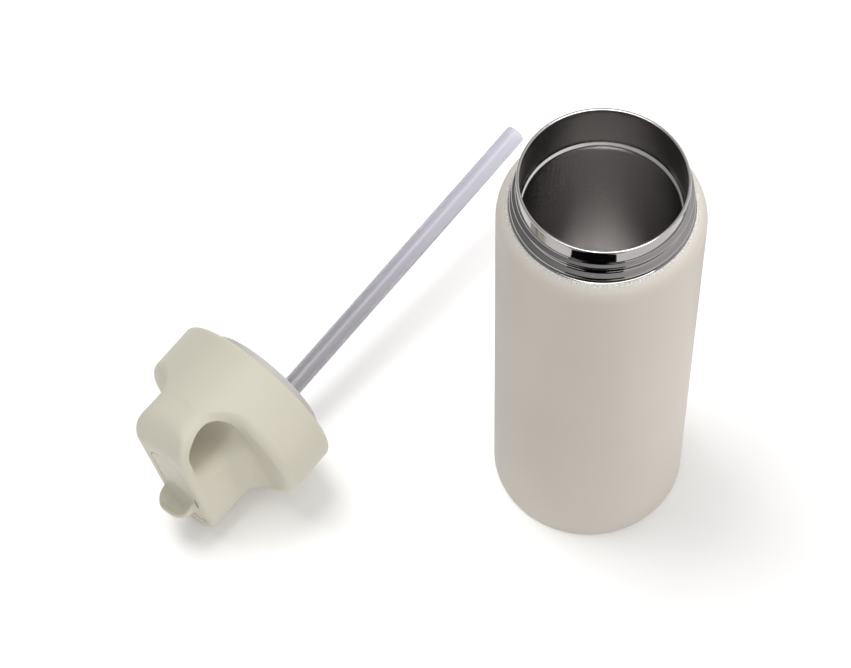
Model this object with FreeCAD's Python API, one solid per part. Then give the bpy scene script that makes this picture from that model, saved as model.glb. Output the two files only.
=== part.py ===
import FreeCAD, Part
import math
import os

from FreeCAD import Vector, Matrix, Placement

os.makedirs("parts", exist_ok=True)

# ---------------------------------------------------------------- dimensions
# Millimetres. The bottle stands on z = 0 with its axis on Z.

BODY_R = 36.5            # coated body radius
COAT_T = 0.25            # powder coat thickness
SHELL_T = 0.65           # outer shell wall
RIM_Z = 191.0            # top of the rim
RIM_R = 29.66            # outside of the rim
MOUTH_R = 28.55          # inside of the neck
NECK_WALL_R = 29.10      # outside of the inner vessel's neck
SHOULDER_Z = 168.08      # where the straight body ends
SHOULDER_R = 9.0         # shoulder radius, on the steel
SHOULDER_TOP_Z = 175.6   # where the coat ends at the neck
SHOULDER_TOP_R = 32.2
LEDGE_Z = 171.0          # sealing bead inside the neck
LEDGE_R = 27.3
VESSEL_R = 33.0          # inside of the inner vessel
VESSEL_T = 0.5
VESSEL_BOTTOM_Z = 9.5
VESSEL_CORNER_R = 11.5
THREAD_R = 31.2          # crest of the rolled thread
THREAD_PITCH = 3.6
THREAD_TURNS = 1.15
THREAD_START_Z = 180.4
BASE_EDGE_R = 1.5
BASE_RING_R = 27.0       # inner edge of the standing ring

# The lid is modelled with its rim plane on h = 0, its top towards +h, and the
# carry bridge along its own x axis; it is then laid down beside the bottle.
LID_R_RIM = 35.6
LID_R_SHOULDER = 35.6
LID_SKIRT_H = 23.0
LID_SHOULDER_R = 4.0
LID_EDGE_R = 1.2
LID_H = 48.9              # top of the lid over its centre
LID_SLOPE = 1.6          # degrees the top rises towards the nose
BRIDGE_W = 12.6          # half width of the carry bridge
BRIDGE_FOOT_H = 20.0     # lowest edge of the bridge, where it meets the skirt's round shoulder
NOSE_X = 18.5            # centre of the bridge's round nose
BRIDGE_TOP_R = 10.0      # rounded upper corner over the skirt
BRIDGE_EDGE_R = 2.0
HOLE_X = -17.0           # finger hole
HOLE_H = 33.6
HOLE_R = 10.65
HOLE_FLARE = 4.5
SKIRT_IN_R = 34.0
DECK_UNDER_H = 19.5
PLUG_R = 24.4
PLUG_END_H = -4.15
GASKET_END_R = 25.3
GASKET_LIP_R = 28.3

PIVOT_X = 18.0           # spout hinge
PIVOT_H = 44.75
HUB_R = 4.55
SPOUT_W = 7.75
SLOT_W = 8.05
SLOT_END_X = -12.0
SLOT_FLOOR_H = 45.3
SLOT_FAR_X = 22.9        # far end of the slot, short of the nose
TAIL_X = 22.45           # end of the thin lip behind the hinge
TAIL_T = 1.0
TAIL_ROOM_R = 6.7
CAVITY_R = 4.9
CHANNEL_R = 1.5
PIN_R = 1.5
PIN_CLEAR = 0.05

STRAW_X = 17.0
STRAW_R = 4.0
STRAW_BORE_R = 2.9
STRAW_SEAT_H = 8.0       # how deep the straw sits in its socket
STRAW_END_H = -152.5
SOCKET_R = 4.05
ADAPTER_R = 5.6

# Where the lid lies: rim centre, and how its axis is turned.
LID_POS = (-126.8, -2.1, 37.8)
LID_AZ = 35.2            # degrees from +Y towards +X, way the straw points
LID_TILT = 7.4           # degrees the straw points upward
LID_ROLL = 9.0           # degrees about the lid's axis


# ---------------------------------------------------------------- helpers
def V(x, y, z=0.0):
    return Vector(x, y, z)


def chain(segments):
    """Edges from a list: ('l', p, q) lines and ('a', p, mid, q) arcs, with
    points as (r, z) in the XZ half plane."""
    edges = []
    for s in segments:
        pts = [V(p[0], 0, p[1]) for p in s[1:]]
        if s[0] == "l":
            edges.append(Part.LineSegment(pts[0], pts[1]).toShape())
        else:
            edges.append(Part.Arc(pts[0], pts[1], pts[2]).toShape())
    return edges


def profile(points):
    """Closed profile from (r, z) points; a point given as ('a', mid, end)
    makes an arc from the point before it."""
    segs = []
    last = points[0]
    for p in points[1:]:
        if isinstance(p[0], str):
            segs.append(("a", last, p[1], p[2]))
            last = p[2]
        else:
            segs.append(("l", last, p))
            last = p
    if last != points[0]:
        segs.append(("l", last, points[0]))
    return Part.Face(Part.Wire(chain(segs)))


def revolve(points):
    s = profile(points).revolve(V(0, 0, 0), V(0, 0, 1), 360)
    return clean(s)


def clean(s):
    solids = s.Solids
    if not solids:
        s = Part.Solid(s) if s.ShapeType == "Shell" else s
        solids = s.Solids
    out = []
    for x in solids:
        if x.Volume < 0:
            x = x.reversed()
        out.append(x)
    return out[0] if len(out) == 1 else Part.makeCompound(out)


def arc_mid(c, r, a):
    return (c[0] + r * math.cos(math.radians(a)), c[1] + r * math.sin(math.radians(a)))


def cyl(r, h, base, axis):
    return Part.makeCylinder(r, h, base, axis)


def ridge(r_root, r_crest, half, pitch, turns, z0):
    """Helical ridge whose foot is buried at r_root."""
    helix = Part.makeHelix(pitch, pitch * turns, r_root)
    top = half * 0.42
    pts = [V(r_root, 0, -half), V(r_crest, 0, -top), V(r_crest, 0, top), V(r_root, 0, half)]
    wire = Part.makePolygon(pts + [pts[0]])
    s = Part.Wire(helix.Edges).makePipeShell([wire], True, True)
    s.translate(V(0, 0, z0))
    return clean(s)


# ---------------------------------------------------------------- bottle
steel_r = BODY_R - COAT_T
in_r = steel_r - SHELL_T


SHOULDER_C = (steel_r - SHOULDER_R, SHOULDER_Z)
SHOULDER_A = math.degrees(math.acos((SHOULDER_TOP_R - SHOULDER_C[0]) / SHOULDER_R))


def shoulder_up(r, end=SHOULDER_A):
    """Arc of the shoulder from the straight body up to the neck."""
    return ("a", arc_mid(SHOULDER_C, r, end / 2.0), arc_mid(SHOULDER_C, r, end))


def shoulder_down(r, end=SHOULDER_A):
    return ("a", arc_mid(SHOULDER_C, r, end / 2.0), arc_mid(SHOULDER_C, r, 0))


outer_shell = revolve([
    (steel_r, 3.0), (steel_r, SHOULDER_Z), shoulder_up(SHOULDER_R),
    (30.7, 175.9), (30.7, 176.5), (31.7, 176.9), (31.95, 177.5), (31.7, 178.3), (30.2, 179.0),
    (29.85, 179.8), (29.72, 190.55), (29.15, 190.55), (29.15, 175.2),
    arc_mid(SHOULDER_C, SHOULDER_R - SHELL_T, 50.0), shoulder_down(SHOULDER_R - SHELL_T, 50.0),
    (in_r, 3.0),
])
thread = ridge(29.5, THREAD_R, 1.45, THREAD_PITCH, THREAD_TURNS, THREAD_START_Z)
outer_shell = clean(outer_shell.fuse(thread))

powder_coat = revolve([
    (steel_r, 3.0), (BODY_R, 3.0), (BODY_R, SHOULDER_Z), shoulder_up(SHOULDER_R + COAT_T),
    arc_mid(SHOULDER_C, SHOULDER_R, SHOULDER_A), shoulder_down(SHOULDER_R),
])

t = VESSEL_T
vb = VESSEL_BOTTOM_Z
cr = VESSEL_CORNER_R
vessel_c = (VESSEL_R - cr, vb + cr)
inner_vessel = revolve([
    (0, vb), (VESSEL_R - cr, vb),
    ("a", arc_mid(vessel_c, cr, -45), (VESSEL_R, vb + cr)),
    (VESSEL_R, 163.6), (28.3, 169.8), (LEDGE_R + 0.15, 170.5),
    ("a", (LEDGE_R, 171.0), (LEDGE_R + 0.15, 171.5)),
    (MOUTH_R, 172.2), (MOUTH_R, RIM_Z - 0.35),
    ("a", (MOUTH_R + 0.12, RIM_Z - 0.08), (MOUTH_R + 0.4, RIM_Z)),
    (RIM_R - 0.3, RIM_Z),
    ("a", (RIM_R - 0.08, RIM_Z - 0.1), (RIM_R, RIM_Z - 0.3)),
    (RIM_R, RIM_Z - 0.43), (NECK_WALL_R, RIM_Z - 0.43), (NECK_WALL_R, 172.5),
    (LEDGE_R + t + 0.2, 171.2), (LEDGE_R + t + 0.2, 170.8), (28.75, 170.1), (VESSEL_R + t, 163.9),
    (VESSEL_R + t, vb + cr),
    ("a", arc_mid(vessel_c, cr + t, -45), (VESSEL_R - cr, vb - t)),
    (0, vb - t),
])

radiant_foil = revolve([
    (VESSEL_R + t + 0.2, 24.0), (VESSEL_R + t + 0.5, 24.0),
    (VESSEL_R + t + 0.5, 161.0), (VESSEL_R + t + 0.2, 161.0),
])

getter = cyl(5.0, 1.4, V(0, 0, vb - t - 1.4), V(0, 0, 1))

SEAL_R = 2.1
base_cup = revolve([
    (SEAL_R, 1.0), (BASE_RING_R, 1.0), (BASE_RING_R, 0.0), (BODY_R - BASE_EDGE_R, 0.0),
    ("a", arc_mid((BODY_R - BASE_EDGE_R, BASE_EDGE_R), BASE_EDGE_R, -45), (BODY_R, BASE_EDGE_R)),
    (BODY_R, 3.0), (in_r, 3.0), (in_r, 1.9),
    ("a", (in_r - 0.35, 1.05), (in_r - 1.2, 0.7)),
    (BASE_RING_R + 1.0, 0.7), (BASE_RING_R - 0.2, 1.8), (SEAL_R, 1.8),
])
vacuum_seal_plug = cyl(SEAL_R, 0.7, V(0, 0, 1.05), V(0, 0, 1))
base_disc = revolve([
    (0, 0), (BASE_RING_R - 0.6, 0.0),
    ("a", (BASE_RING_R - 0.28, 0.12), (BASE_RING_R - 0.15, 0.45)),
    (BASE_RING_R - 0.15, 0.95), (0, 0.95),
])

# ---------------------------------------------------------------- lid
sk, sr, er = LID_SKIRT_H, LID_SHOULDER_R, LID_EDGE_R
skirt = revolve([
    (0, DECK_UNDER_H), (SKIRT_IN_R, DECK_UNDER_H), (SKIRT_IN_R, 0.4), (SKIRT_IN_R + 0.35, 0.0), (LID_R_RIM - er, 0.0),
    ("a", arc_mid((LID_R_RIM - er, er), er, -45), (LID_R_RIM, er)),
    (LID_R_SHOULDER, sk - sr),
    ("a", arc_mid((LID_R_SHOULDER - sr, sk - sr), sr, 45), (LID_R_SHOULDER - sr, sk)),
    (0, sk),
])

# Bridge: plan outline, side outline and the skirt's cylinder, intersected.
x0 = -(LID_R_SHOULDER + 2)
lo_h = BRIDGE_FOOT_H
plan = Part.Wire([
    Part.LineSegment(V(x0, -BRIDGE_W, lo_h), V(NOSE_X, -BRIDGE_W, lo_h)).toShape(),
    Part.Arc(V(NOSE_X, -BRIDGE_W, lo_h), V(NOSE_X + BRIDGE_W, 0, lo_h), V(NOSE_X, BRIDGE_W, lo_h)).toShape(),
    Part.LineSegment(V(NOSE_X, BRIDGE_W, lo_h), V(x0, BRIDGE_W, lo_h)).toShape(),
    Part.LineSegment(V(x0, BRIDGE_W, lo_h), V(x0, -BRIDGE_W, lo_h)).toShape(),
])
bridge = Part.Face(plan).extrude(V(0, 0, LID_H + 6 - lo_h))
rim_cyl = cyl(LID_R_SHOULDER, 80, V(0, 0, -10), V(0, 0, 1))
bridge = bridge.common(rim_cyl)
xe = -LID_R_SHOULDER
tr = BRIDGE_TOP_R
slope = math.tan(math.radians(LID_SLOPE))


def top_h(x):
    """Height of the bridge's top face at x."""
    return LID_H + slope * x


near_h = top_h(xe + tr)
side = Part.Wire([
    Part.LineSegment(V(xe, -20, lo_h - 1), V(40, -20, lo_h - 1)).toShape(),
    Part.LineSegment(V(40, -20, lo_h - 1), V(40, -20, top_h(40))).toShape(),
    Part.LineSegment(V(40, -20, top_h(40)), V(xe + tr, -20, near_h)).toShape(),
    Part.Arc(V(xe + tr, -20, near_h), V(xe + tr * 0.2929, -20, near_h - tr * 0.2929), V(xe, -20, near_h - tr)).toShape(),
    Part.LineSegment(V(xe, -20, near_h - tr), V(xe, -20, lo_h - 1)).toShape(),
])
bridge = bridge.common(Part.Face(side).extrude(V(0, 40, 0)))
bridge = clean(bridge)


def top_edges(s):
    """Edges that lie wholly on the sloped top face, without its near end."""
    keep = []
    for e in s.Edges:
        pts = [v.Point for v in e.Vertexes] + [e.valueAt((e.FirstParameter + e.LastParameter) / 2.0)]
        if all(abs(p.z - top_h(p.x)) < 0.02 for p in pts):
            if not all(abs(p.x - (xe + tr)) < 0.05 for p in pts):
                keep.append(e)
    return keep


try:
    bridge = clean(bridge.makeFillet(BRIDGE_EDGE_R, top_edges(bridge)))
except Exception:
    print("bridge edge fillet left out")

# The bridge stands on the deck, face to face with it.
carry_bridge = clean(bridge.cut(skirt))

# Finger hole with flared mouths, across the bridge.
w, fl, hr = BRIDGE_W, HOLE_FLARE, HOLE_R
# quarter rounds at both mouths, centres at (hr + fl, -+(w - fl))
qa = [(hr + fl + fl * math.cos(math.radians(a)), -w + fl + fl * math.sin(math.radians(a))) for a in (270, 225, 180)]
qb = [(hr + fl + fl * math.cos(math.radians(a)), w - fl + fl * math.sin(math.radians(a))) for a in (180, 135, 90)]
segs = [("l", (0, -w - 2), (hr + fl, -w - 2)), ("l", (hr + fl, -w - 2), qa[0]), ("a", qa[0], qa[1], qa[2]),
        ("l", qa[2], qb[0]), ("a", qb[0], qb[1], qb[2]), ("l", qb[2], (hr + fl, w + 2)),
        ("l", (hr + fl, w + 2), (0, w + 2)), ("l", (0, w + 2), (0, -w - 2))]
hole = clean(Part.Face(Part.Wire(chain(segs))).revolve(V(0, 0, 0), V(0, 0, 1), 360))
# the tool's axis goes from Z onto y
hole.rotate(V(0, 0, 0), V(1, 0, 0), -90)
hole.translate(V(HOLE_X, 0, HOLE_H))
# the hole ends flush with the deck, and nothing is taken through the top of the bridge
keep_zone = Part.makeBox(80, 80, 24.5, V(-40, -40, sk))
carry_bridge = clean(carry_bridge.cut(hole.common(keep_zone)))


def slab(points, half_w):
    """Extrude a side outline of (x, h) points across the bridge."""
    wire = Part.makePolygon([V(p[0], -half_w, p[1]) for p in points + [points[0]]])
    return Part.Face(wire).extrude(V(0, 2 * half_w, 0))


def u_plan(half_w, x_end, x_far, h0, h1):
    c = Part.Wire([
        Part.LineSegment(V(x_far, -half_w, h0), V(x_end, -half_w, h0)).toShape(),
        Part.Arc(V(x_end, -half_w, h0), V(x_end - half_w, 0, h0), V(x_end, half_w, h0)).toShape(),
        Part.LineSegment(V(x_end, half_w, h0), V(x_far, half_w, h0)).toShape(),
        Part.LineSegment(V(x_far, half_w, h0), V(x_far, -half_w, h0)).toShape(),
    ])
    return Part.Face(c).extrude(V(0, 0, h1 - h0))


slot = u_plan(SLOT_W, SLOT_END_X, SLOT_FAR_X, SLOT_FLOOR_H, LID_H + 8)
ramp = slab([(-4.5, SLOT_FLOOR_H + 0.1), (6.6, 41.4), (PIVOT_X, PIVOT_H - CAVITY_R), (PIVOT_X, SLOT_FLOOR_H + 0.1)], SLOT_W)
cavity = cyl(CAVITY_R, 2 * SLOT_W, V(PIVOT_X, -SLOT_W, PIVOT_H), V(0, 1, 0))
# room for the lip behind the hinge to swing down into
tail_room = cyl(TAIL_ROOM_R, 2 * SLOT_W, V(PIVOT_X, -SLOT_W, PIVOT_H), V(0, 1, 0))
tail_room = tail_room.common(Part.makeBox(8, 18, 8.0, V(PIVOT_X, -9, 41.6)).fuse(Part.makeBox(8, 18, 2.0, V(21.35, -9, 39.95))))
carry_bridge = clean(carry_bridge.cut(slot.fuse([ramp, cavity, tail_room])))
sockets = cyl(PIN_R + PIN_CLEAR, 21.6, V(PIVOT_X, -10.8, PIVOT_H), V(0, 1, 0))
carry_bridge = clean(carry_bridge.cut(sockets))
passage = cyl(4.5, 23, V(STRAW_X, 0, DECK_UNDER_H - 1), V(0, 0, 1))
carry_bridge = clean(carry_bridge.cut(passage))
cap_body = clean(skirt.cut(passage))

cap_liner = revolve([
    (0, PLUG_END_H), (PLUG_R, PLUG_END_H), (PLUG_R, 17.9), (32.5, 17.9), (32.5, 1.0), (33.95, 1.0),
    (33.95, 19.4), (22.6, 19.4), (22.6, -2.4), (0, -2.4),
])
liner_thread = ridge(32.8, 31.6, 1.2, THREAD_PITCH, 1.1, 5.0)
cap_liner = clean(cap_liner.fuse(liner_thread))
cap_liner = clean(cap_liner.cut(cyl(ADAPTER_R, 6, V(STRAW_X, 0, -6), V(0, 0, 1))))
VENT_X = -6.0
cap_liner = clean(cap_liner.cut(cyl(3.1, 1.9, V(VENT_X, 0, -5.2), V(0, 0, 1))))
cap_liner = clean(cap_liner.cut(cyl(1.5, 3.0, V(VENT_X, 0, -4.5), V(0, 0, 1))))

cap_gasket = revolve([
    (PLUG_R + 0.02, PLUG_END_H + 0.03), (GASKET_END_R - 0.35, PLUG_END_H), ("a", (GASKET_END_R - 0.1, PLUG_END_H + 0.12), (GASKET_END_R, PLUG_END_H + 0.4)),
    (GASKET_END_R + 0.2, -1.6), (GASKET_LIP_R, -0.3), (GASKET_LIP_R, 0.5), (GASKET_END_R + 0.3, 0.9),
    (GASKET_END_R + 0.3, 3.2), (PLUG_R + 0.02, 3.2),
])

lid_insulation = revolve([(0, -2.35), (22.5, -2.35), (22.5, 19.35), (0, 19.35)])
lid_insulation = clean(lid_insulation.cut(cyl(6.0, 30, V(STRAW_X, 0, -5), V(0, 0, 1))))
lid_insulation = clean(lid_insulation.cut(cyl(2.3, 30, V(VENT_X, 0, -5), V(0, 0, 1))))

vent_valve = revolve([
    (0, -4.1), (2.9, -4.1), (3.0, -3.9), (2.9, -3.4), (1.45, -3.35), (1.45, -2.35), (2.0, -2.2), (1.5, -1.6), (0, -1.5),
])
vent_valve.translate(V(VENT_X, 0, 0))

adapter = revolve([
    (SOCKET_R, PLUG_END_H + 0.05), (ADAPTER_R - 0.3, PLUG_END_H + 0.05), (ADAPTER_R - 0.02, PLUG_END_H + 0.35),
    (ADAPTER_R - 0.02, 12.0), (4.45, 13.0), (4.45, 31.0), (2.6, 31.0), (2.6, STRAW_SEAT_H + 0.05),
    (SOCKET_R, STRAW_SEAT_H + 0.05),
])
adapter.translate(V(STRAW_X, 0, 0))
straw_adapter = adapter

spout_seat = revolve([(2.6, 31.05), (4.45, 31.05), (4.45, 41.4), (2.6, 41.4)])
spout_seat.translate(V(STRAW_X, 0, 0))
spout_seat = clean(spout_seat.cut(cyl(HUB_R + 0.12, 30, V(PIVOT_X, -15, PIVOT_H), V(0, 1, 0))))
under_web = Part.Face(Part.makePolygon([V(p[0], -10, p[1]) for p in (
    (5.0, 42.4), (7.0, 41.55), (PIVOT_X, PIVOT_H - HUB_R - 0.3), (PIVOT_X, 47), (5.0, 47), (5.0, 42.4))])).extrude(V(0, 20, 0))
spout_seat = clean(spout_seat.cut(under_web))

# Spout: arm, hub, tail and thumb tab, with the drinking channel through it.
arm = u_plan(SPOUT_W, SLOT_END_X, PIVOT_X, SLOT_FLOOR_H + 0.25, LID_H + 6)
web = slab([(-4.2, SLOT_FLOOR_H + 0.3), (7.0, 41.9), (PIVOT_X, PIVOT_H - HUB_R + 0.05), (PIVOT_X, 47.0), (-4.2, 47.0)], SPOUT_W)
hub = cyl(HUB_R, 2 * SPOUT_W, V(PIVOT_X, -SPOUT_W, PIVOT_H), V(0, 1, 0))
tail = Part.makeBox(TAIL_X - PIVOT_X, 2 * SPOUT_W, 6.0, V(PIVOT_X, -SPOUT_W, PIVOT_H + 4.6 - TAIL_T))

# Thumb tab: a scooped tongue that leans towards the hinge.
tab_pts = [(5.4, 47.4), (6.3, 49.2), (7.5, 52.0), (8.3, 54.8), (8.7, 57.4), (9.8, 58.0), (10.9, 57.3), (11.3, 53.5), (11.4, 47.4)]
tab = slab(tab_pts, SPOUT_W + 0.2)
tab_front = Part.makePolygon([V(0, y, h) for y, h in (
    (-7.95, 47), (-7.95, 51.8), (-7.5, 54.2), (-6.0, 56.3), (-3.4, 57.6), (0, 58.0), (3.4, 57.6), (6.0, 56.3), (7.5, 54.2), (7.95, 51.8), (7.95, 47), (-7.95, 47))])
tab = tab.common(Part.Face(tab_front).extrude(V(40, 0, 0)))
low_tab = Part.makeBox(30, 2 * SPOUT_W, 10.2, V(0, -SPOUT_W, 39.2)).fuse(Part.makeBox(30, 20, 10, V(0, -10, 49.4)))
tab = tab.common(low_tab)
flush = slab([(-40, 30), (40, 30), (40, top_h(40) - 0.05), (-40, top_h(-40) - 0.05)], 20)
spout = arm.fuse([web, hub, tail]).common(flush).fuse(tab)
chan = cyl(CHANNEL_R, 32.0, V(-3.0, 0, 47.0), V(PIVOT_X + 3.0, 0, PIVOT_H - 47.0))
mouth = Part.makeBox(19.0, 8.0, 1.2, V(-21.0, -4.0, 46.3))
spout = clean(spout.cut(chan.fuse(mouth)))
pin_holes = cyl(PIN_R, 3.7, V(PIVOT_X, 4.2, PIVOT_H), V(0, 1, 0)).fuse(cyl(PIN_R, 3.7, V(PIVOT_X, -7.9, PIVOT_H), V(0, 1, 0)))
spout = clean(spout.cut(pin_holes))
try:
    spout = clean(spout.removeSplitter())
except Exception:
    pass
hinge_pins = Part.makeCompound([
    cyl(PIN_R, 6.3, V(PIVOT_X, 4.25, PIVOT_H), V(0, 1, 0)),
    cyl(PIN_R, 6.3, V(PIVOT_X, -10.55, PIVOT_H), V(0, 1, 0)),
])

straw = revolve([
    (STRAW_BORE_R, STRAW_END_H + 0.3), (STRAW_BORE_R + 0.3, STRAW_END_H), (STRAW_R - 0.4, STRAW_END_H),
    (STRAW_R, STRAW_END_H + 0.4), (STRAW_R, STRAW_SEAT_H), (STRAW_BORE_R, STRAW_SEAT_H),
])
straw.translate(V(STRAW_X, 0, 0))


# ---------------------------------------------------------------- placing
def lid_placement():
    az, al, ro = (math.radians(a) for a in (LID_AZ, LID_TILT, LID_ROLL))
    d = Vector(math.cos(al) * math.sin(az), math.cos(al) * math.cos(az), math.sin(al))
    h0 = d.cross(Vector(0, 0, 1))
    h0.normalize()
    v0 = h0.cross(d)
    x = h0 * math.sin(ro) - v0 * math.cos(ro)
    y = h0 * math.cos(ro) + v0 * math.sin(ro)
    z = d * -1.0
    m = Matrix(x.x, y.x, z.x, LID_POS[0],
               x.y, y.y, z.y, LID_POS[1],
               x.z, y.z, z.z, LID_POS[2],
               0, 0, 0, 1)
    return Placement(m), x, y, z


PL, LX, LY, LZ = lid_placement()


def place(s):
    s = s.copy()
    s.Placement = PL.multiply(s.Placement)
    return s


lid_nodes = {
    "cap_body": cap_body, "carry_bridge": carry_bridge, "cap_liner": cap_liner, "cap_gasket": cap_gasket, "lid_insulation": lid_insulation,
    "straw_adapter": straw_adapter, "spout_seat": spout_seat, "vent_valve": vent_valve,
    "spout": spout, "hinge_pins": hinge_pins, "straw": straw,
}
nodes = {
    "outer_shell": outer_shell, "powder_coat": powder_coat, "inner_vessel": inner_vessel,
    "radiant_foil": radiant_foil, "base_cup": base_cup, "base_disc": base_disc,
    "getter": getter, "vacuum_seal_plug": vacuum_seal_plug,
}
for name, s in lid_nodes.items():
    nodes[name] = place(s)

for name, s in nodes.items():
    b = s.BoundBox
    print("%-18s solids %d valid %s vol %9.1f  z %7.2f..%7.2f" % (name, len(s.Solids), s.isValid(), s.Volume, b.ZMin, b.ZMax))
    s.exportStep("parts/%s.step" % name)

print("lid x axis", LX, "y axis", LY, "z axis", LZ)
pv = PL.multVec(Vector(PIVOT_X, 0, PIVOT_H))
print("pivot", pv, "hole", PL.multVec(Vector(HOLE_X, 0, HOLE_H)))
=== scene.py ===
import math

import bmesh
import bpy
import numpy as np
from mathutils import Matrix, Vector


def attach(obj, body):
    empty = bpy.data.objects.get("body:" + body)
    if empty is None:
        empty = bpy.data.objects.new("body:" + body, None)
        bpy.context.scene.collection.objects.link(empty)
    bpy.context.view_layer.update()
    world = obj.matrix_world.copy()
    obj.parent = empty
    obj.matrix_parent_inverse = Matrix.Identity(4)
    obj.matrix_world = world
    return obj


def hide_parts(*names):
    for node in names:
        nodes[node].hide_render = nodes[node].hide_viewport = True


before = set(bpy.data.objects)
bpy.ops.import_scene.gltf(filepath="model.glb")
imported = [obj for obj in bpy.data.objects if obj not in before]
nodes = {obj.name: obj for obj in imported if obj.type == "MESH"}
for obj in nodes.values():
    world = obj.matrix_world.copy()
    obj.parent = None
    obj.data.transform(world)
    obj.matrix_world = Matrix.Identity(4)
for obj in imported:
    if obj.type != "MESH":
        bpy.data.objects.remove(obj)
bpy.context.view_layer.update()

MM = 0.001

# ------------------------------------------------------------------ placing
# Lid frame: rim plane at h = 0, top towards +h, carry bridge along x.
Q = np.array((-126.8, -2.1, 37.8))
LX = np.array((0.20115752755041466, 0.013775047193848908, -0.979462044790206))
LY = np.array((0.7954704898617608, -0.5857993706393615, 0.1551315477832227))
LZ = np.array((-0.571631305011276, -0.8103390311674091, -0.1287956965775628))
LZ = LZ / np.linalg.norm(LZ)


def lid_to_world(p):
    p = np.asarray(p, float)
    return Q + p[:, :1] * LX + p[:, 1:2] * LY + p[:, 2:3] * LZ


# ------------------------------------------------------------------ mesh code
def make_object(name, verts_mm, faces, mat, body, replaced=(), smooth=True, angle=None):
    me = bpy.data.meshes.new(name)
    me.from_pydata((np.asarray(verts_mm) * MM).tolist(), [], [list(map(int, f)) for f in faces])
    me.validate()
    if smooth:
        me.shade_smooth()
        if angle is not None:
            me.set_sharp_from_angle(angle=math.radians(angle))
    ob = bpy.data.objects.new(name, me)
    bpy.context.scene.collection.objects.link(ob)
    me.materials.append(mat)
    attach(ob, body)
    if replaced:
        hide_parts(*replaced)
    return ob


def arc(c, r, a0, a1, n):
    t = np.radians(np.linspace(a0, a1, n))
    return [(c[0] + r * math.cos(x), c[1] + r * math.sin(x)) for x in t]


def lathe(profile, n, closed=True, radial=None):
    """Grid of rings from an (r, z) profile; radial(theta, r, z) may move a ring's points in or out."""
    pr = np.array(profile, float)
    th = np.linspace(0, 2 * np.pi, n, endpoint=False)
    T, R = np.meshgrid(th, pr[:, 0], indexing="ij")
    _, Z = np.meshgrid(th, pr[:, 1], indexing="ij")
    if radial is not None:
        R = radial(T, R, Z)
    verts = np.stack([R * np.cos(T), R * np.sin(T), Z], -1).reshape(-1, 3)
    m = len(pr)
    faces = []
    last = m if closed else m - 1
    for i in range(n):
        a, b = i * m, ((i + 1) % n) * m
        for j in range(last):
            k = (j + 1) % m
            if pr[j, 0] < 1e-6 and pr[k, 0] < 1e-6:
                continue
            if pr[j, 0] < 1e-6:
                faces.append((j, b + k, a + k))
            elif pr[k, 0] < 1e-6:
                faces.append((a + j, b + j, k))
            else:
                faces.append((a + j, b + j, b + k, a + k))
    # poles share the first ring's vertex
    return drop_loose(verts, faces)


def drop_loose(verts, faces):
    used = np.unique(np.concatenate([np.asarray(f) for f in faces]))
    remap = -np.ones(len(verts), int)
    remap[used] = np.arange(len(used))
    return verts[used], [tuple(remap[list(f)]) for f in faces]


def outward(ob):
    bm = bmesh.new()
    bm.from_mesh(ob.data)
    bmesh.ops.recalc_face_normals(bm, faces=bm.faces)
    bm.to_mesh(ob.data)
    bm.free()
    return ob


def rmax(a, b, r):
    return np.minimum(-r, np.maximum(a, b)) + np.hypot(np.maximum(a + r, 0), np.maximum(b + r, 0))


def rmin(a, b, r):
    return np.maximum(r, np.minimum(a, b)) - np.hypot(np.maximum(r - a, 0), np.maximum(r - b, 0))


def polygon(x, y, pts):
    """Signed distance to a closed polygon, negative inside."""
    d = np.full(np.shape(x), 1e9)
    inside = np.zeros(np.shape(x), bool)
    n = len(pts)
    for i in range(n):
        (x0, y0), (x1, y1) = pts[i], pts[(i + 1) % n]
        ex, ey = x1 - x0, y1 - y0
        t = np.clip(((x - x0) * ex + (y - y0) * ey) / (ex * ex + ey * ey), 0, 1)
        d = np.minimum(d, np.hypot(x - x0 - t * ex, y - y0 - t * ey))
        if y0 != y1:
            hit = ((y0 > y) != (y1 > y)) & (x < x0 + (y - y0) / (y1 - y0) * ex)
            inside ^= hit
    return np.where(inside, -d, d)


def gradient(f, p, e=0.04):
    g = np.empty_like(p)
    for i in range(3):
        q = p.copy(); q[:, i] += e
        s = p.copy(); s[:, i] -= e
        g[:, i] = (f(q[:, 0], q[:, 1], q[:, 2]) - f(s[:, 0], s[:, 1], s[:, 2])) / (2 * e)
    return g


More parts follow.
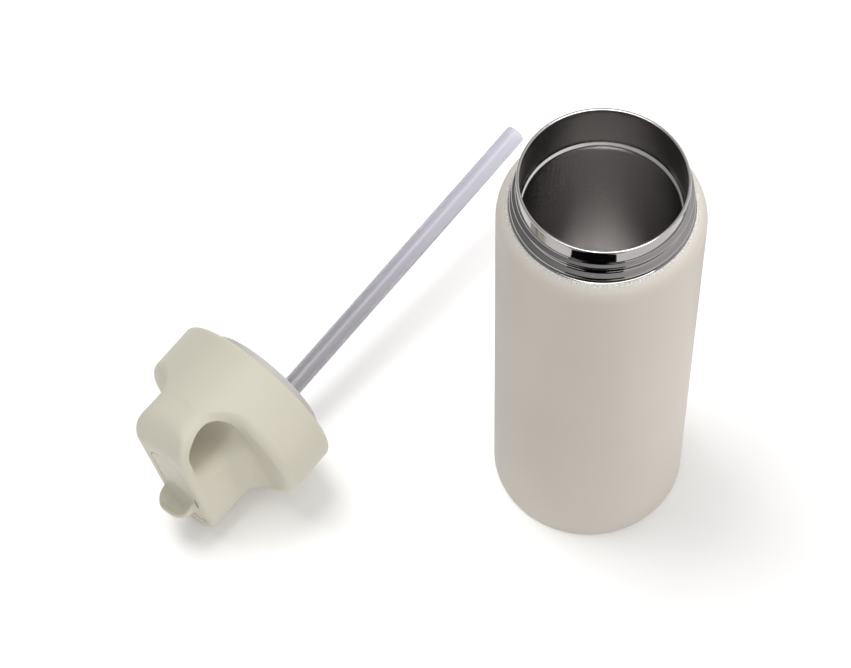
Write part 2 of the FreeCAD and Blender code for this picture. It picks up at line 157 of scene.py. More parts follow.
def surface(f, lo, hi, step, relax=3):
    """Quad mesh of the zero surface of f, evened out and pulled back on to it."""
    ax = [np.arange(lo[i], hi[i] + step, step) for i in range(3)]
    X, Y, Z = np.meshgrid(*ax, indexing="ij")
    F = f(X, Y, Z)
    I = F < 0
    n = [s - 1 for s in F.shape]

    def at(a, i, j, k):
        return a[i:n[0] + i, j:n[1] + j, k:n[2] + k]

    corners = [(i, j, k) for i in (0, 1) for j in (0, 1) for k in (0, 1)]
    count = sum(at(I, *c).astype(np.int8) for c in corners)
    active = (count > 0) & (count < 8)
    cell = np.argwhere(active)
    acc = np.zeros((len(cell), 3))
    cnt = np.zeros(len(cell))
    for c in corners:
        for a in range(3):
            if c[a]:
                continue
            d = list(c); d[a] = 1
            v0 = F[cell[:, 0] + c[0], cell[:, 1] + c[1], cell[:, 2] + c[2]]
            v1 = F[cell[:, 0] + d[0], cell[:, 1] + d[1], cell[:, 2] + d[2]]
            hit = (v0 < 0) != (v1 < 0)
            t = np.where(hit, v0 / np.where(hit, v0 - v1, 1), 0)
            p = np.array(c, float)[None, :].repeat(len(cell), 0)
            p[:, a] += t
            acc[hit] += p[hit]
            cnt[hit] += 1
    verts = (cell + acc / cnt[:, None]) * step + np.array(lo)
    index = -np.ones(active.shape, int)
    index[active] = np.arange(len(cell))
    quads = []
    for a in range(3):
        b, c = (a + 1) % 3, (a + 2) % 3
        s0 = [slice(None)] * 3; s1 = [slice(None)] * 3
        s0[a] = slice(0, -1); s1[a] = slice(1, None)
        for s in (s0, s1):
            s[b] = slice(1, -1); s[c] = slice(1, -1)
        A, B = I[tuple(s0)], I[tuple(s1)]
        e = np.argwhere(A != B)
        if not len(e):
            continue
        pos = e.copy(); pos[:, b] += 1; pos[:, c] += 1
        low_inside = A[tuple(e.T)]

        def idx(db, dc):
            q = pos.copy(); q[:, b] += db; q[:, c] += dc
            return index[tuple(q.T)]
        quad = np.stack([idx(-1, -1), idx(0, -1), idx(0, 0), idx(-1, 0)], 1)
        quad[~low_inside] = quad[~low_inside][:, ::-1]
        quads.append(quad)
    quads = np.concatenate(quads)
    quads = quads[(quads >= 0).all(1)]

    def pull(v, rounds, limit):
        for _ in range(rounds):
            g = gradient(f, v)
            val = f(v[:, 0], v[:, 1], v[:, 2])
            move = -(val / np.maximum((g * g).sum(1), 0.2))[:, None] * g
            ln = np.linalg.norm(move, axis=1)
            v = v + move * np.minimum(1, limit / np.maximum(ln, 1e-9))[:, None]
        return v

    verts = pull(verts, 2, step * 0.5)
    ea = quads.ravel(); eb = np.roll(quads, -1, 1).ravel()
    for _ in range(relax):
        s = np.zeros_like(verts); w = np.zeros(len(verts))
        for u, v in ((ea, eb), (eb, ea)):
            np.add.at(s, u, verts[v]); np.add.at(w, u, 1)
        mean = s / np.maximum(w, 1)[:, None]
        g = gradient(f, verts)
        g /= np.maximum(np.linalg.norm(g, axis=1), 1e-6)[:, None]
        d = mean - verts
        d -= (d * g).sum(1)[:, None] * g
        verts = pull(verts + 0.6 * d, 1, step * 0.3)
    return verts, quads


# ------------------------------------------------------------------ materials
class Nodes:
    def __init__(self, name):
        self.mat = bpy.data.materials.new(name)
        self.mat.use_nodes = True
        self.t = self.mat.node_tree
        self.bsdf = self.t.nodes["Principled BSDF"]
        self.coord = self.new("ShaderNodeTexCoord")

    def new(self, kind, **props):
        n = self.t.nodes.new(kind)
        for k, v in props.items():
            setattr(n, k, v)
        return n

    def link(self, a, b):
        self.t.links.new(a, b)

    def set(self, **values):
        for k, v in values.items():
            self.bsdf.inputs[k.replace("_", " ")].default_value = v

    def scaled(self, scale=(1, 1, 1), rotation=(0, 0, 0)):
        m = self.new("ShaderNodeMapping")
        m.inputs["Scale"].default_value = scale
        m.inputs["Rotation"].default_value = rotation
        self.link(self.coord.outputs["Object"], m.inputs["Vector"])
        return m.outputs["Vector"]

    def noise(self, scale, detail=3, rough=0.5, vector=None):
        n = self.new("ShaderNodeTexNoise")
        n.inputs["Scale"].default_value = scale
        n.inputs["Detail"].default_value = detail
        n.inputs["Roughness"].default_value = rough
        self.link(vector if vector is not None else self.coord.outputs["Object"], n.inputs["Vector"])
        return n.outputs["Fac"]

    def ramp(self, fac, *stops):
        r = self.new("ShaderNodeValToRGB")
        els = r.color_ramp.elements
        while len(els) < len(stops):
            els.new(0.5)
        for e, (p, c) in zip(els, stops):
            e.position = p
            e.color = (*c, 1) if len(c) == 3 else c
        self.link(fac, r.inputs["Fac"])
        return r.outputs["Color"]

    def span(self, fac, a, b, lo=0.0, hi=1.0):
        r = self.new("ShaderNodeMapRange")
        r.inputs["From Min"].default_value = lo
        r.inputs["From Max"].default_value = hi
        r.inputs["To Min"].default_value = a
        r.inputs["To Max"].default_value = b
        self.link(fac, r.inputs["Value"])
        return r.outputs["Result"]

    def mix(self, fac, a, b):
        m = self.new("ShaderNodeMix", data_type="RGBA")
        if hasattr(fac, "links"):
            self.link(fac, m.inputs["Factor"])
        else:
            m.inputs["Factor"].default_value = fac
        for socket, v in ((m.inputs["A"], a), (m.inputs["B"], b)) if False else ((m.inputs[6], a), (m.inputs[7], b)):
            if hasattr(v, "links"):
                self.link(v, socket)
            else:
                socket.default_value = (*v, 1)
        return m.outputs[2]

    def math(self, op, a, b=None):
        m = self.new("ShaderNodeMath", operation=op)
        for s, v in zip(m.inputs, (a, b)):
            if v is None:
                continue
            if hasattr(v, "links"):
                self.link(v, s)
            else:
                s.default_value = v
        return m.outputs[0]

    def xyz(self):
        s = self.new("ShaderNodeSeparateXYZ")
        self.link(self.coord.outputs["Object"], s.inputs[0])
        return s.outputs

    def bump(self, height, strength, distance):
        b = self.new("ShaderNodeBump")
        b.inputs["Strength"].default_value = strength
        b.inputs["Distance"].default_value = distance
        self.link(height, b.inputs["Height"])
        self.link(b.outputs["Normal"], self.bsdf.inputs["Normal"])
        return b


def srgb(r, g, b):
    def f(c):
        c = c / 255
        return c / 12.92 if c <= 0.04045 else ((c + 0.055) / 1.055) ** 2.4
    return (f(r), f(g), f(b))


def painted(name, tone_a, tone_b, rough=0.5, grain=2600, bump=0.25, spec=0.4, wear_and_sheen_z=None):
    n = Nodes(name)
    cloud = n.noise(9, 2)
    fine = n.noise(grain, 2, 0.6)
    colour = n.ramp(cloud, (0.35, tone_a), (0.65, tone_b))
    dust = n.span(fine, 0.0, 0.10, 0.35, 0.75)
    colour = n.mix(dust, colour, tuple(min(1, c * 1.25) for c in tone_b))
    # Towards the coat's top edge at the neck: bare-steel specks where the thin coat is worn through (real wear), plus
    # a painted highlight that lightens the coat into a pale band
    if wear_and_sheen_z is not None:
        z = n.xyz()[2]
        edge = n.span(z, 0.0, 1.0, wear_and_sheen_z[0], wear_and_sheen_z[1])
        grains = n.noise(1300, 3, 0.7)
        bare = n.math("GREATER_THAN", n.math("ADD", n.math("MULTIPLY", n.math("POWER", edge, 1.6), 0.55), n.math("MULTIPLY", grains, 0.9)), 0.72)
        # painted highlight: the coat is lightened towards its top edge, a pale band standing in for the light on the
        # shoulder
        colour = n.mix(n.math("MULTIPLY", edge, 0.45), colour, srgb(236, 235, 228))
        speck = n.ramp(n.noise(2100, 2), (0.40, (0.50, 0.50, 0.50)), (0.52, (0.93, 0.93, 0.92)))
        colour = n.mix(bare, colour, speck)
        n.link(n.math("MULTIPLY", bare, 0.35), n.bsdf.inputs["Metallic"])
        n.link(n.span(bare, rough, 0.28), n.bsdf.inputs["Roughness"])
    else:
        n.link(n.span(n.noise(300, 3), rough - 0.05, rough + 0.06), n.bsdf.inputs["Roughness"])
    n.link(colour, n.bsdf.inputs["Base Color"])
    n.set(Specular_IOR_Level=spec)
    n.bump(fine, bump, 0.00012)
    return n.mat


def metal(name, tone_a, tone_b, rough_a, rough_b, streak=(60, 60, 60), bump=0.0, grain=1.0):
    n = Nodes(name)
    v = n.scaled(streak)
    lines = n.noise(grain, 4, 0.6, v)
    n.link(n.ramp(lines, (0.25, tone_a), (0.75, tone_b)), n.bsdf.inputs["Base Color"])
    n.link(n.span(lines, rough_a, rough_b, 0.2, 0.8), n.bsdf.inputs["Roughness"])
    n.set(Metallic=1.0)
    if bump:
        n.bump(lines, bump, 0.00005)
    return n.mat


M = {}
# the band from 172.5 to 177.1 mm carries worn-through steel specks and a painted highlight
M["coat"] = painted("powder_coat", srgb(199, 192, 182), srgb(204, 198, 188), 0.52, 2400, 0.30, 0.35, wear_and_sheen_z=(0.1725, 0.1771))
M["coat_plain"] = painted("powder_coat_base", srgb(199, 192, 182), srgb(204, 198, 188), 0.52, 2400, 0.30, 0.35)
M["lid"] = painted("cap_plastic", srgb(201, 197, 181), srgb(205, 202, 187), 0.50, 3200, 0.12, 0.32)
M["spout"] = painted("spout_plastic", srgb(199, 195, 179), srgb(203, 199, 185), 0.48, 3200, 0.12, 0.32)
M["polish"] = metal("polished_steel", (0.36, 0.347, 0.343), (0.41, 0.397, 0.392), 0.035, 0.07, (40, 40, 1500), 0.02)
M["ring"] = metal("polished_ledge", (0.80, 0.785, 0.775), (0.84, 0.825, 0.815), 0.05, 0.09, (300, 300, 40), 0.02)
M["inner"] = metal("brushed_inner_steel", (0.635, 0.618, 0.612), (0.645, 0.628, 0.622), 0.262, 0.268, (60, 60, 5), 0.0)
M["lip"] = metal("polished_lip_steel", (0.58, 0.56, 0.55), (0.66, 0.64, 0.63), 0.08, 0.14, (300, 300, 300), 0.02)
M["satin"] = metal("satin_steel", (0.52, 0.50, 0.48), (0.60, 0.58, 0.56), 0.25, 0.38, (900, 40, 40), 0.08)
M["pin"] = metal("pin_steel", (0.55, 0.55, 0.55), (0.62, 0.62, 0.62), 0.15, 0.25, (500, 500, 500), 0.03)
M["foil"] = metal("foil", (0.80, 0.79, 0.78), (0.88, 0.87, 0.86), 0.12, 0.35, (120, 120, 120), 0.4)
M["getter"] = metal("getter_alloy", (0.22, 0.22, 0.21), (0.34, 0.33, 0.32), 0.5, 0.75, (1500, 1500, 1500), 0.4)


def rubber(name, a, b, rough, trans=0.0, sss=0.0, grain=900):
    n = Nodes(name)
    f = n.noise(grain, 3)
    n.link(n.ramp(n.noise(60, 2), (0.35, a), (0.65, b)), n.bsdf.inputs["Base Color"])
    n.link(n.span(f, rough - 0.05, rough + 0.07), n.bsdf.inputs["Roughness"])
    n.set(IOR=1.43, Transmission_Weight=trans, Subsurface_Weight=sss, Subsurface_Scale=0.002, Subsurface_Radius=(0.8, 0.8, 0.8))
    n.bump(f, 0.10, 0.00006)
    return n.mat


M["gasket"] = rubber("silicone_seal", srgb(188, 187, 186), srgb(196, 195, 193), 0.42, 0.0, 0.25)
M["socket"] = rubber("silicone_socket", srgb(196, 195, 196), srgb(205, 204, 204), 0.40, 0.15, 0.2)
M["seat"] = rubber("silicone_seat", srgb(186, 185, 186), srgb(195, 194, 194), 0.45, 0.0, 0.2)
M["valve"] = rubber("silicone_valve", srgb(200, 199, 199), srgb(210, 209, 208), 0.45, 0.0, 0.2)
M["liner"] = rubber("liner_plastic", srgb(186, 184, 182), srgb(194, 192, 189), 0.38, 0.0, 0.1)
M["foam"] = rubber("foam", srgb(236, 234, 228), srgb(244, 242, 238), 0.85, 0.0, 0.0, 2200)
M["glass"] = rubber("seal_glass", (0.10, 0.13, 0.10), (0.14, 0.17, 0.14), 0.10, 0.35, 0.0)


def straw_material():
    n = Nodes("straw_plastic")
    # along: distance down the tube's own axis; the streaks run with it
    def along_axis(axis):
        d = n.new("ShaderNodeVectorMath", operation="DOT_PRODUCT")
        n.link(n.coord.outputs["Object"], d.inputs[0])
        d.inputs[1].default_value = tuple(axis)
        return d.outputs["Value"]
    along = along_axis(-LZ)
    comb = n.new("ShaderNodeCombineXYZ")
    n.link(n.math("MULTIPLY", along, 6.0), comb.inputs[0])
    n.link(n.math("MULTIPLY", along_axis(LX), 330.0), comb.inputs[1])
    n.link(n.math("MULTIPLY", along_axis(LY), 330.0), comb.inputs[2])
    streak = n.noise(1.0, 2, 0.4, comb.outputs[0])
    # the colour lightens and transmission falls from the lid end towards the straw's far end
    far_end_ramp = n.span(along, 0.0, 1.0, -0.070, 0.075)
    tone = n.ramp(far_end_ramp, (0.0, srgb(192, 190, 194)), (0.35, srgb(204, 202, 209)), (0.65, srgb(222, 220, 230)), (1.0, srgb(232, 232, 244)))
    light = n.ramp(far_end_ramp, (0.0, srgb(208, 207, 211)), (0.5, srgb(222, 221, 229)), (1.0, srgb(240, 240, 249)))
    n.link(n.mix(n.span(streak, 0.0, 0.75, 0.42, 0.66), tone, light), n.bsdf.inputs["Base Color"])
    n.link(n.span(streak, 0.20, 0.27), n.bsdf.inputs["Roughness"])
    n.link(n.span(far_end_ramp, 0.66, 0.40), n.bsdf.inputs["Transmission Weight"])
    n.set(IOR=1.42)
    n.bump(streak, 0.02, 0.00005)
    return n.mat


M["straw"] = straw_material()

# ------------------------------------------------------------------ bottle
BODY_R, COAT_T, SHELL_T = 36.5, 0.25, 0.65
steel_r = BODY_R - COAT_T
in_r = steel_r - SHELL_T
SC = (27.25, 168.08)
top_a = math.degrees(math.acos((32.2 - SC[0]) / 9.0))


def thread(T, R, Z):
    """Low rolled bead that climbs one turn and a bit round the neck, with tapered ends."""
    out = R.copy()
    for k in (-1, 0, 1, 2):
        turn = (T + START) / (2 * np.pi) + k
        zc = 180.4 + 3.6 * turn
        live = (turn > -0.06) & (turn < 1.21)
        fade = np.clip((turn + 0.06) / 0.10, 0, 1) * np.clip((1.21 - turn) / 0.10, 0, 1)
        fade = fade * fade * (3 - 2 * fade)
        d = (Z - zc) / 1.45
        lump = np.where(np.abs(d) < 1, (0.5 + 0.5 * np.cos(np.pi * d)) ** 0.8, 0) * 1.38 * fade
        face = (R > 29.5) & (Z > 178.4) & (Z < 189.9)
        out = np.where(live & face, np.maximum(out, R + lump), out)
    return out


START = 0.0
neck = []
neck += [(30.7, 175.9), (30.7, 176.35)]
neck += [(30.75, 176.5), (31.1, 176.66), (31.5, 176.8), (31.78, 177.02), (31.93, 177.3), (31.95, 177.55), (31.88, 177.85), (31.70, 178.15), (31.35, 178.42), (30.9, 178.64), (30.45, 178.86), (30.1, 179.12), (29.93, 179.4), (29.86, 179.7)]
neck += [(29.85 - 0.13 * t, 179.8 + 10.5 * t) for t in np.linspace(0, 1, 60)]
neck += [(29.70, 190.42), (29.60, 190.55), (29.15, 190.55), (29.15, 175.2)]
shell = [(steel_r, 3.0)] + [(steel_r, z) for z in np.linspace(20, 150, 6)] + arc(SC, 9.0, 0, top_a, 18) + [(31.4, 175.85)] + neck
shell += arc(SC, 9.0 - SHELL_T, 50, 0, 10) + [(in_r, 150), (in_r, 20), (in_r, 3.0)]
v, f = lathe(shell, 480, True, thread)
outward(make_object("outer_shell_steel", v, f, M["polish"], "bottle", ("outer_shell",), angle=50))

coat = [(steel_r, 3.0), (BODY_R, 3.0)] + [(BODY_R, z) for z in np.linspace(12, 160, 12)] + arc(SC, 9.25, 0, top_a, 26)
coat += arc(SC, 9.0, top_a, 0, 20) + [(steel_r, 150), (steel_r, 20)]
v, f = lathe(coat, 320)
outward(make_object("coat", v, f, M["coat"], "bottle", ("powder_coat",), angle=50))

VC = (21.5, 21.0)
vessel = [(0, 9.5), (8, 9.5), (15, 9.5)] + arc(VC, 11.5, -90, 0, 20) + [(33, z) for z in np.linspace(30, 160, 10)]
vessel += [(33, 163.2), (32.7, 163.9), (32.0, 164.9), (30.2, 167.2), (28.7, 169.1), (27.9, 169.9), (27.5, 170.3), (27.35, 170.6), (27.29, 170.9), (27.30, 171.15), (27.36, 171.4), (27.48, 171.6), (27.66, 171.78), (27.9, 171.92), (28.15, 172.06), (28.35, 172.24), (28.47, 172.5), (28.53, 172.9), (28.55, 173.5)]
vessel += [(28.55, z) for z in np.linspace(175, 189, 8)] + [(28.55, 190.6), (28.62, 190.82), (28.78, 190.95), (28.98, 191.0), (29.32, 191.0), (29.50, 190.95), (29.60, 190.84), (29.66, 190.7), (29.66, 190.57), (29.10, 190.57)]
vessel += [(29.10, 172.6), (28.0, 171.2), (28.0, 170.8), (28.75, 170.1), (33.5, 163.9), (33.5, 21.0)]
vessel += arc(VC, 12.0, 0, -90, 16) + [(10, 9.0), (0, 9.0)]
v, f = lathe(vessel, 320, False)
ob = outward(make_object("inner_vessel_steel", v, f, M["inner"], "bottle", ("inner_vessel",), angle=40))
ob.data.materials.append(M["lip"])
ob.data.materials.append(M["ring"])
for poly in ob.data.polygons:
    z = poly.center[2] * 1000
    r = math.hypot(poly.center[0], poly.center[1]) * 1000
    if z > 190.3:
        poly.material_index = 1
    elif 168.9 < z < 173.4 and r < 28.9:
        poly.material_index = 2

cup = [(2.1, 1.0), (27.0, 1.0), (27.0, 0.15), (27.15, 0.0), (35.0, 0.0)] + arc((35.0, 1.5), 1.5, -80, 0, 8) + [(36.5, 3.0), (in_r, 3.0), (in_r, 1.9)]
cup += [(35.2, 1.2), (34.4, 0.7), (28.0, 0.7), (26.8, 1.8), (2.1, 1.8)]
v, f = lathe(cup, 240)
outward(make_object("base_cup_coated", v, f, M["coat_plain"], "bottle", ("base_cup",), angle=40))
disc = [(0, 0.12), (6, 0.12), (6.4, 0.0), (24.2, 0.0), (24.7, 0.15), (25.2, 0.0), (26.3, 0.0), (26.6, 0.08), (26.78, 0.25), (26.85, 0.5), (26.85, 0.95), (0, 0.95)]
v, f = lathe(disc, 200, False)
outward(make_object("base_disc_steel", v, f, M["satin"], "bottle", ("base_disc",), angle=40))

# ------------------------------------------------------------------ lid
SLOPE = math.tan(math.radians(1.6))
COS = math.cos(math.radians(1.6))


def top_of(x):
    return 48.9 + SLOPE * x


def lid_form(x, y, h):
    r = np.hypot(x, y)
    side = r - 35.6
    skirt = rmax(rmax(side, h - 23.0, 4.0), -h, 2.0)
    top = (h - top_of(x)) * COS
    plan = np.hypot(np.maximum(x - 18.5, 0), y) - 12.6
    near = rmax(-x - 35.6, top, 13.0)
    deep = np.clip((-top - 2.0) / 10.0, 0, 1)
    bridge = rmax(plan, near, 2.0 + 4.6 * deep * deep * (3 - 2 * deep))
    bridge = rmax(bridge, side, 1.0)
    bridge = np.maximum(bridge, 15.0 - h)
    body = rmin(skirt, bridge, 9.0)
    body = np.maximum(body, side)
    # finger hole, sharper towards the top and softer towards the deck and nose
    hx, hh = x + 17.0, h - 33.6
    flare = 1.8 * np.clip((np.abs(y) - 8.1) / 3.6, 0, 1)      # only the hole's mouths open towards the near end
    hole = np.hypot(np.maximum(np.abs(hx + flare) - flare, 0), hh) - 10.65
    hole = rmax(hole, np.abs(y) - 20.0, 7.0)
    lean = (hx * 0.93 - hh * 0.37) / np.maximum(np.hypot(hx, hh), 1e-3)
    soft = np.where(y > 0, 0.9 + 5.2 * np.clip(0.40 + 0.75 * lean, 0, 1), 4.2)
    body = rmax(body, -hole, soft)
    # pocket for the spout
    plan_s = np.maximum(np.hypot(np.maximum(-12.0 - x, 0), y) - 8.02, x - 22.87)
    slot = np.maximum(plan_s, 45.3 - h)
    low = np.maximum(polygon(x, h, [(-4.5, 45.4), (6.6, 41.4), (18, 39.85), (18, 45.4)]), np.abs(y) - 8.05)
    hub = np.maximum(np.hypot(x - 18.0, h - 44.75) - 4.9, np.abs(y) - 8.05)
    room = np.hypot(x - 18.0, h - 44.75) - 6.7
    room = np.maximum(np.maximum(room, np.abs(y) - 8.05), np.minimum(np.maximum(18.0 - x, 41.6 - h), np.maximum(21.35 - x, 39.95 - h)))
    pocket = np.minimum(np.minimum(slot, low), np.minimum(hub, room))
    body = rmax(body, -pocket, 0.28)
    # hollow of the skirt, and the way up for the straw's socket
    hollow = np.maximum(r - 34.0, h - 19.5)
    body = rmax(body, -hollow, 0.5)
    way = np.maximum(np.maximum(np.hypot(x - 17.0, y) - 4.5, 18.0 - h), h - 42.0)
    return np.maximum(body, -way)


STEP = 0.5
v, f = surface(lid_form, (-37, -37, -1.5), (37, 37, 51.5), STEP, 3)
make_object("lid_shell", lid_to_world(v), f, M["lid"], "lid", ("cap_body", "carry_bridge"), angle=38)


def spout_form(x, y, h):
    plan = np.hypot(np.maximum(-12.0 - x, 0), y) - 7.85
    top = (h - top_of(x)) * COS + 0.05
    arm = np.maximum(np.maximum(plan, x - 18.0), 45.55 - h)
    web = np.maximum(polygon(x, h, [(-4.2, 45.6), (7.0, 41.9), (18, 40.25), (18, 47.2), (-4.2, 47.2)]), np.abs(y) - 7.75)
    hub = np.maximum(np.hypot(x - 18.0, h - 44.75) - 4.55, np.abs(y) - 7.75)
    tail = np.maximum(np.maximum(17.0 - x, x - 22.55), np.maximum(48.35 - h, np.abs(y) - 7.85))
    base = np.minimum(np.minimum(arm, web), np.minimum(hub, tail))
    base = rmax(base, top, 0.25)
    # thumb tab: a scooped tongue
    hs = np.array([46.0, 47.4, 49.2, 50.6, 52.0, 53.4, 54.8, 56.2, 57.4, 58.4])
    xf = np.array([4.9, 5.4, 6.35, 6.95, 7.5, 7.95, 8.3, 8.5, 8.6, 8.6])
    front = np.interp(h, hs, xf) + 1.7 * np.clip(1.15 - (y / 6.9) ** 2, 0, 1) * np.clip((h - 49.0) / 2.5, 0, 1) * np.clip((57.5 - h) / 2.0, 0, 1)
    back = np.interp(h, [46, 53.5, 58.4], [11.4, 11.3, 10.9])
    outline = np.hypot(np.maximum(np.abs(y) - 1.75, 0), np.maximum(h - 51.8, 0)) - 6.2
    tab = rmax(rmax(front - x, x - back, 0.95), outline, 0.9)
    tab = np.maximum(tab, 46.5 - h)
    body = rmin(base, tab, 1.1)
    body = np.where(h < 49.45, np.maximum(body, np.abs(y) - 7.75), body)
    # drinking channel and mouth
    a = np.array((-3.0, 47.0)); b = np.array((19.5, 44.6)); ab = b - a
    t = np.clip(((x - a[0]) * ab[0] + (h - a[1]) * ab[1]) / (ab @ ab), 0, 1)
    chan = np.sqrt((x - a[0] - t * ab[0]) ** 2 + (h - a[1] - t * ab[1]) ** 2 + y * y) - 1.45
    mouth = np.maximum(rmax(np.abs(y) - 4.0, np.abs(h - 46.9) - 0.6, 0.3), x + 2.0)
    return np.maximum(body, -np.minimum(chan, mouth))


v, f = surface(spout_form, (-21, -9, 39.2), (24.5, 9, 59.2), 0.34, 3)
make_object("flip_spout", lid_to_world(v), f, M["spout"], "spout", ("spout",), angle=38)


def lid_lathe(name, profile, n, mat, replaced, cx=0.0, closed=True, angle=40, body="lid"):
    v, f = lathe(profile, n, closed)
    v = v + np.array((cx, 0, 0))
    return outward(make_object(name, lid_to_world(v), f, mat, body, replaced, angle=angle))


gasket = [(24.42, -4.12), (24.95, -4.14), (25.12, -4.1), (25.24, -3.98), (25.3, -3.75), (25.5, -1.75), (25.75, -1.55), (26.8, -1.0), (28.1, -0.42), (28.27, -0.25), (28.3, 0.1), (28.27, 0.42), (28.1, 0.55), (26.6, 0.82), (25.75, 0.9), (25.6, 1.05),
          (25.6, 1.9), (25.75, 2.1), (25.75, 2.5), (25.6, 2.7), (25.6, 3.2), (24.42, 3.2)]
lid_lathe("plug_seal", gasket, 220, M["gasket"], ("cap_gasket",))

for node, key, slot in (("cap_liner", "liner", "liner_plastic"), ("lid_insulation", "foam", "foam"), ("straw_adapter", "socket", "silicone"),
                        ("spout_seat", "seat", "silicone"), ("vent_valve", "valve", "silicone"), ("hinge_pins", "pin", "pin_steel"),
                        ("radiant_foil", "foil", "foil"), ("getter", "getter", "getter_alloy"), ("vacuum_seal_plug", "glass", "seal_glass")):
    o = nodes[node]
    o.data.materials.clear()
    o.data.materials.append(M[key])
    for poly in o.data.polygons:
        poly.material_index = 0

# Straw: drawn tube, a little out of true as such tubes are.
L = np.linspace(0, 1, 90)
tube = [(4.0, 8.0 - 0.3)] + [(4.0, 7.7 - 159.6 * t) for t in L[1:-1]] + [(3.98, -152.1), (3.85, -152.35), (3.6, -152.5), (3.2, -152.5), (3.0, -152.38), (2.9, -152.15)]
tube += [(2.9, -152.1 + 159.8 * t) for t in L[1:-1]] + [(2.9, 8.0), (3.9, 8.0)]
v, f = lathe(tube, 72)
s = np.clip((4.0 - v[:, 2]) / 156.0, 0, 1)
v[:, 0] += 17.0 + 0.35 * s * s * (1 - 0.4 * s)
v[:, 1] += -0.25 * s * s
outward(make_object("straw_tube", lid_to_world(v), f, M["straw"], "straw", ("straw",), angle=50))

# ------------------------------------------------------------------ studio
def plane(name, x0, x1, y0, y1, z, mat, n=4):
    bm = bmesh.new()
    bmesh.ops.create_grid(bm, x_segments=n, y_segments=n, size=0.5)
    for vt in bm.verts:
        vt.co = Vector((x0 + (vt.co.x + 0.5) * (x1 - x0), y0 + (vt.co.y + 0.5) * (y1 - y0), z))
    me = bpy.data.meshes.new(name)
    bm.to_mesh(me)
    bm.free()
    ob = bpy.data.objects.new(name, me)
    bpy.context.scene.collection.objects.link(ob)
    me.materials.append(mat)
    return ob


fl = Nodes("studio_floor")
fl.link(fl.ramp(fl.noise(3, 2), (0.3, (0.93, 0.93, 0.93)), (0.7, (0.95, 0.95, 0.95))), fl.bsdf.inputs["Base Color"])
fl.set(Roughness=0.9, Specular_IOR_Level=0.0, Emission_Color=(1, 1, 1, 1), Emission_Strength=0.07)
floor = plane("floor", -3, 3, -3, 3, 0.0, fl.mat)

dark = Nodes("studio_flag")
dark.link(dark.ramp(dark.noise(5, 2), (0.3, (0.004, 0.004, 0.004)), (0.7, (0.006, 0.006, 0.006))), dark.bsdf.inputs["Base Color"])
dark.set(Roughness=1.0, Specular_IOR_Level=0.0)


def flag(name, x0, x1, y0, y1, z=0.0015):
    o = plane(name, x0, x1, y0, y1, z, dark.mat)
    o.visible_camera = False
    o.visible_diffuse = False
    o.visible_shadow = False
    o.visible_transmission = False
    o.visible_volume_scatter = False
    return o


flag("flag_front", -0.085, 0.055, -0.42, -0.040)
up = flag("flag_front_tall", -0.26, 0.20, -0.70, -0.25, 0.0)
up.data.transform(Matrix.Rotation(math.radians(90), 4, "X"))
up.data.transform(Matrix.Translation((0, -0.42, 0.70)))
flag("flag_right", 0.02, 0.120, 0.050, 0.40)
flag("flag_left", -0.105, -0.02, 0.062, 0.40)

world = bpy.data.worlds.new("studio")
bpy.context.scene.world = world
world.use_nodes = True
wt = world.node_tree
bg = wt.nodes["Background"]
bg.inputs["Strength"].default_value = 0.80
wc = wt.nodes.new("ShaderNodeTexCoord")
ws = wt.nodes.new("ShaderNodeSeparateXYZ")
wt.links.new(wc.outputs["Generated"], ws.inputs[0])
wr = wt.nodes.new("ShaderNodeMapRange")
wr.inputs["From Min"].default_value = -0.9
wr.inputs["From Max"].default_value = 0.9
wt.links.new(ws.outputs[0], wr.inputs["Value"])
wm = wt.nodes.new("ShaderNodeValToRGB")
wm.color_ramp.elements[0].color = (0.42, 0.415, 0.42, 1)
wm.color_ramp.elements[1].color = (1.36, 1.35, 1.34, 1)
wt.links.new(wr.outputs["Result"], wm.inputs["Fac"])
wp = wt.nodes.new("ShaderNodeLightPath")
wx = wt.nodes.new("ShaderNodeMix")
wx.data_type = "RGBA"
wt.links.new(wp.outputs["Is Glossy Ray"], wx.inputs["Factor"])
wt.links.new(wm.outputs["Color"], wx.inputs[6])
wg = wt.nodes.new("ShaderNodeValToRGB")
wg.color_ramp.elements[0].color = (0.30, 0.30, 0.31, 1)
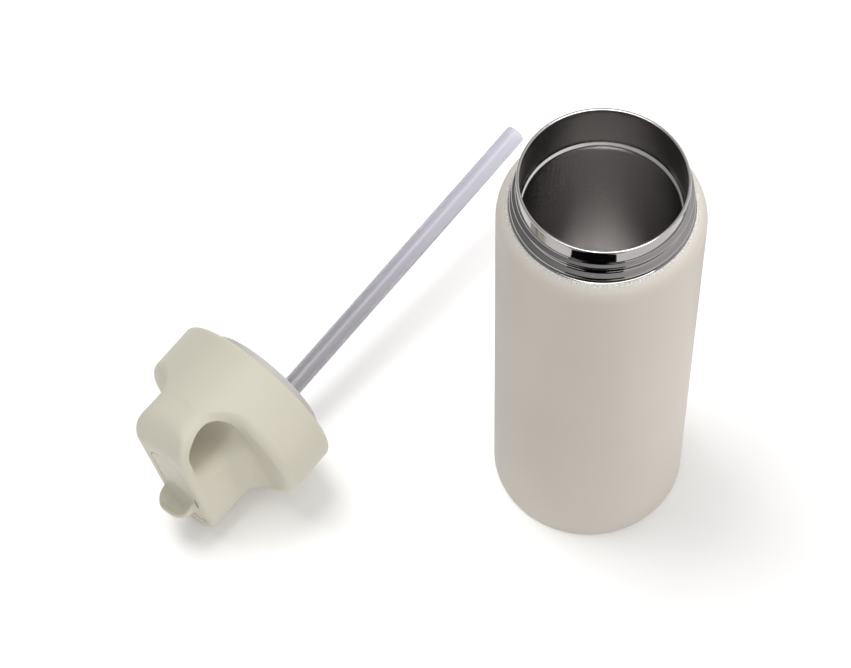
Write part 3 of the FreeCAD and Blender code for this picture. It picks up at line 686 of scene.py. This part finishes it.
wg.color_ramp.elements[1].color = (1.00, 0.99, 0.98, 1)
wt.links.new(wr.outputs["Result"], wg.inputs["Fac"])
wt.links.new(wg.outputs["Color"], wx.inputs[7])
wt.links.new(wx.outputs[2], bg.inputs["Color"])


def area(name, loc, target, size, energy, colour=(1, 1, 1), size_y=None):
    li = bpy.data.lights.new(name, "AREA")
    li.energy = energy
    li.color = colour
    li.shape = "RECTANGLE" if size_y else "SQUARE"
    li.size = size
    if size_y:
        li.size_y = size_y
    ob = bpy.data.objects.new(name, li)
    bpy.context.scene.collection.objects.link(ob)
    ob.location = loc
    ob.rotation_mode = "QUATERNION"
    ob.rotation_quaternion = (Vector(target) - Vector(loc)).to_track_quat("-Z", "Y")
    return ob


def receive(light, name, state):
    """The light falls on the floor alone, or on everything but the floor."""
    group = bpy.data.collections.new(name)
    group.objects.link(floor)
    light.light_linking.receiver_collection = group
    group.collection_objects[0].light_linking.link_state = state


receive(area("key_floor", (-0.42, 0.20, 1.40), (0.0, 0.0, 0.0), 0.7, 12.5, (1, 0.995, 0.985), 0.7), "on_floor", "INCLUDE")
receive(area("key_object", (0.05, 0.05, 1.45), (-0.03, 0.0, 0.0), 0.8, 9.3, (1, 0.998, 0.99), 0.8), "on_object", "EXCLUDE")

# ------------------------------------------------------------------ camera
cam_data = bpy.data.cameras.new("camera")
cam_data.lens = 125.8
cam_data.sensor_width = 36.0
cam_data.sensor_fit = "HORIZONTAL"
cam_data.clip_start = 0.05
cam_data.clip_end = 20.0
cam = bpy.data.objects.new("camera", cam_data)
bpy.context.scene.collection.objects.link(cam)
fw = Vector((-0.0566, 0.5138, -0.8561)).normalized()
rt = Vector((0.9966, 0.0807, -0.0174))
rt = (rt - fw * rt.dot(fw)).normalized()
up = rt.cross(fw)
rot = Matrix((rt, up, -fw)).transposed()
cam.matrix_world = Matrix.Translation((0.0, -0.56508, 1.02424)) @ rot.to_4x4()
bpy.context.scene.camera = cam
bpy.context.scene.view_settings.view_transform = "Standard"
bpy.context.scene.view_settings.look = "None"
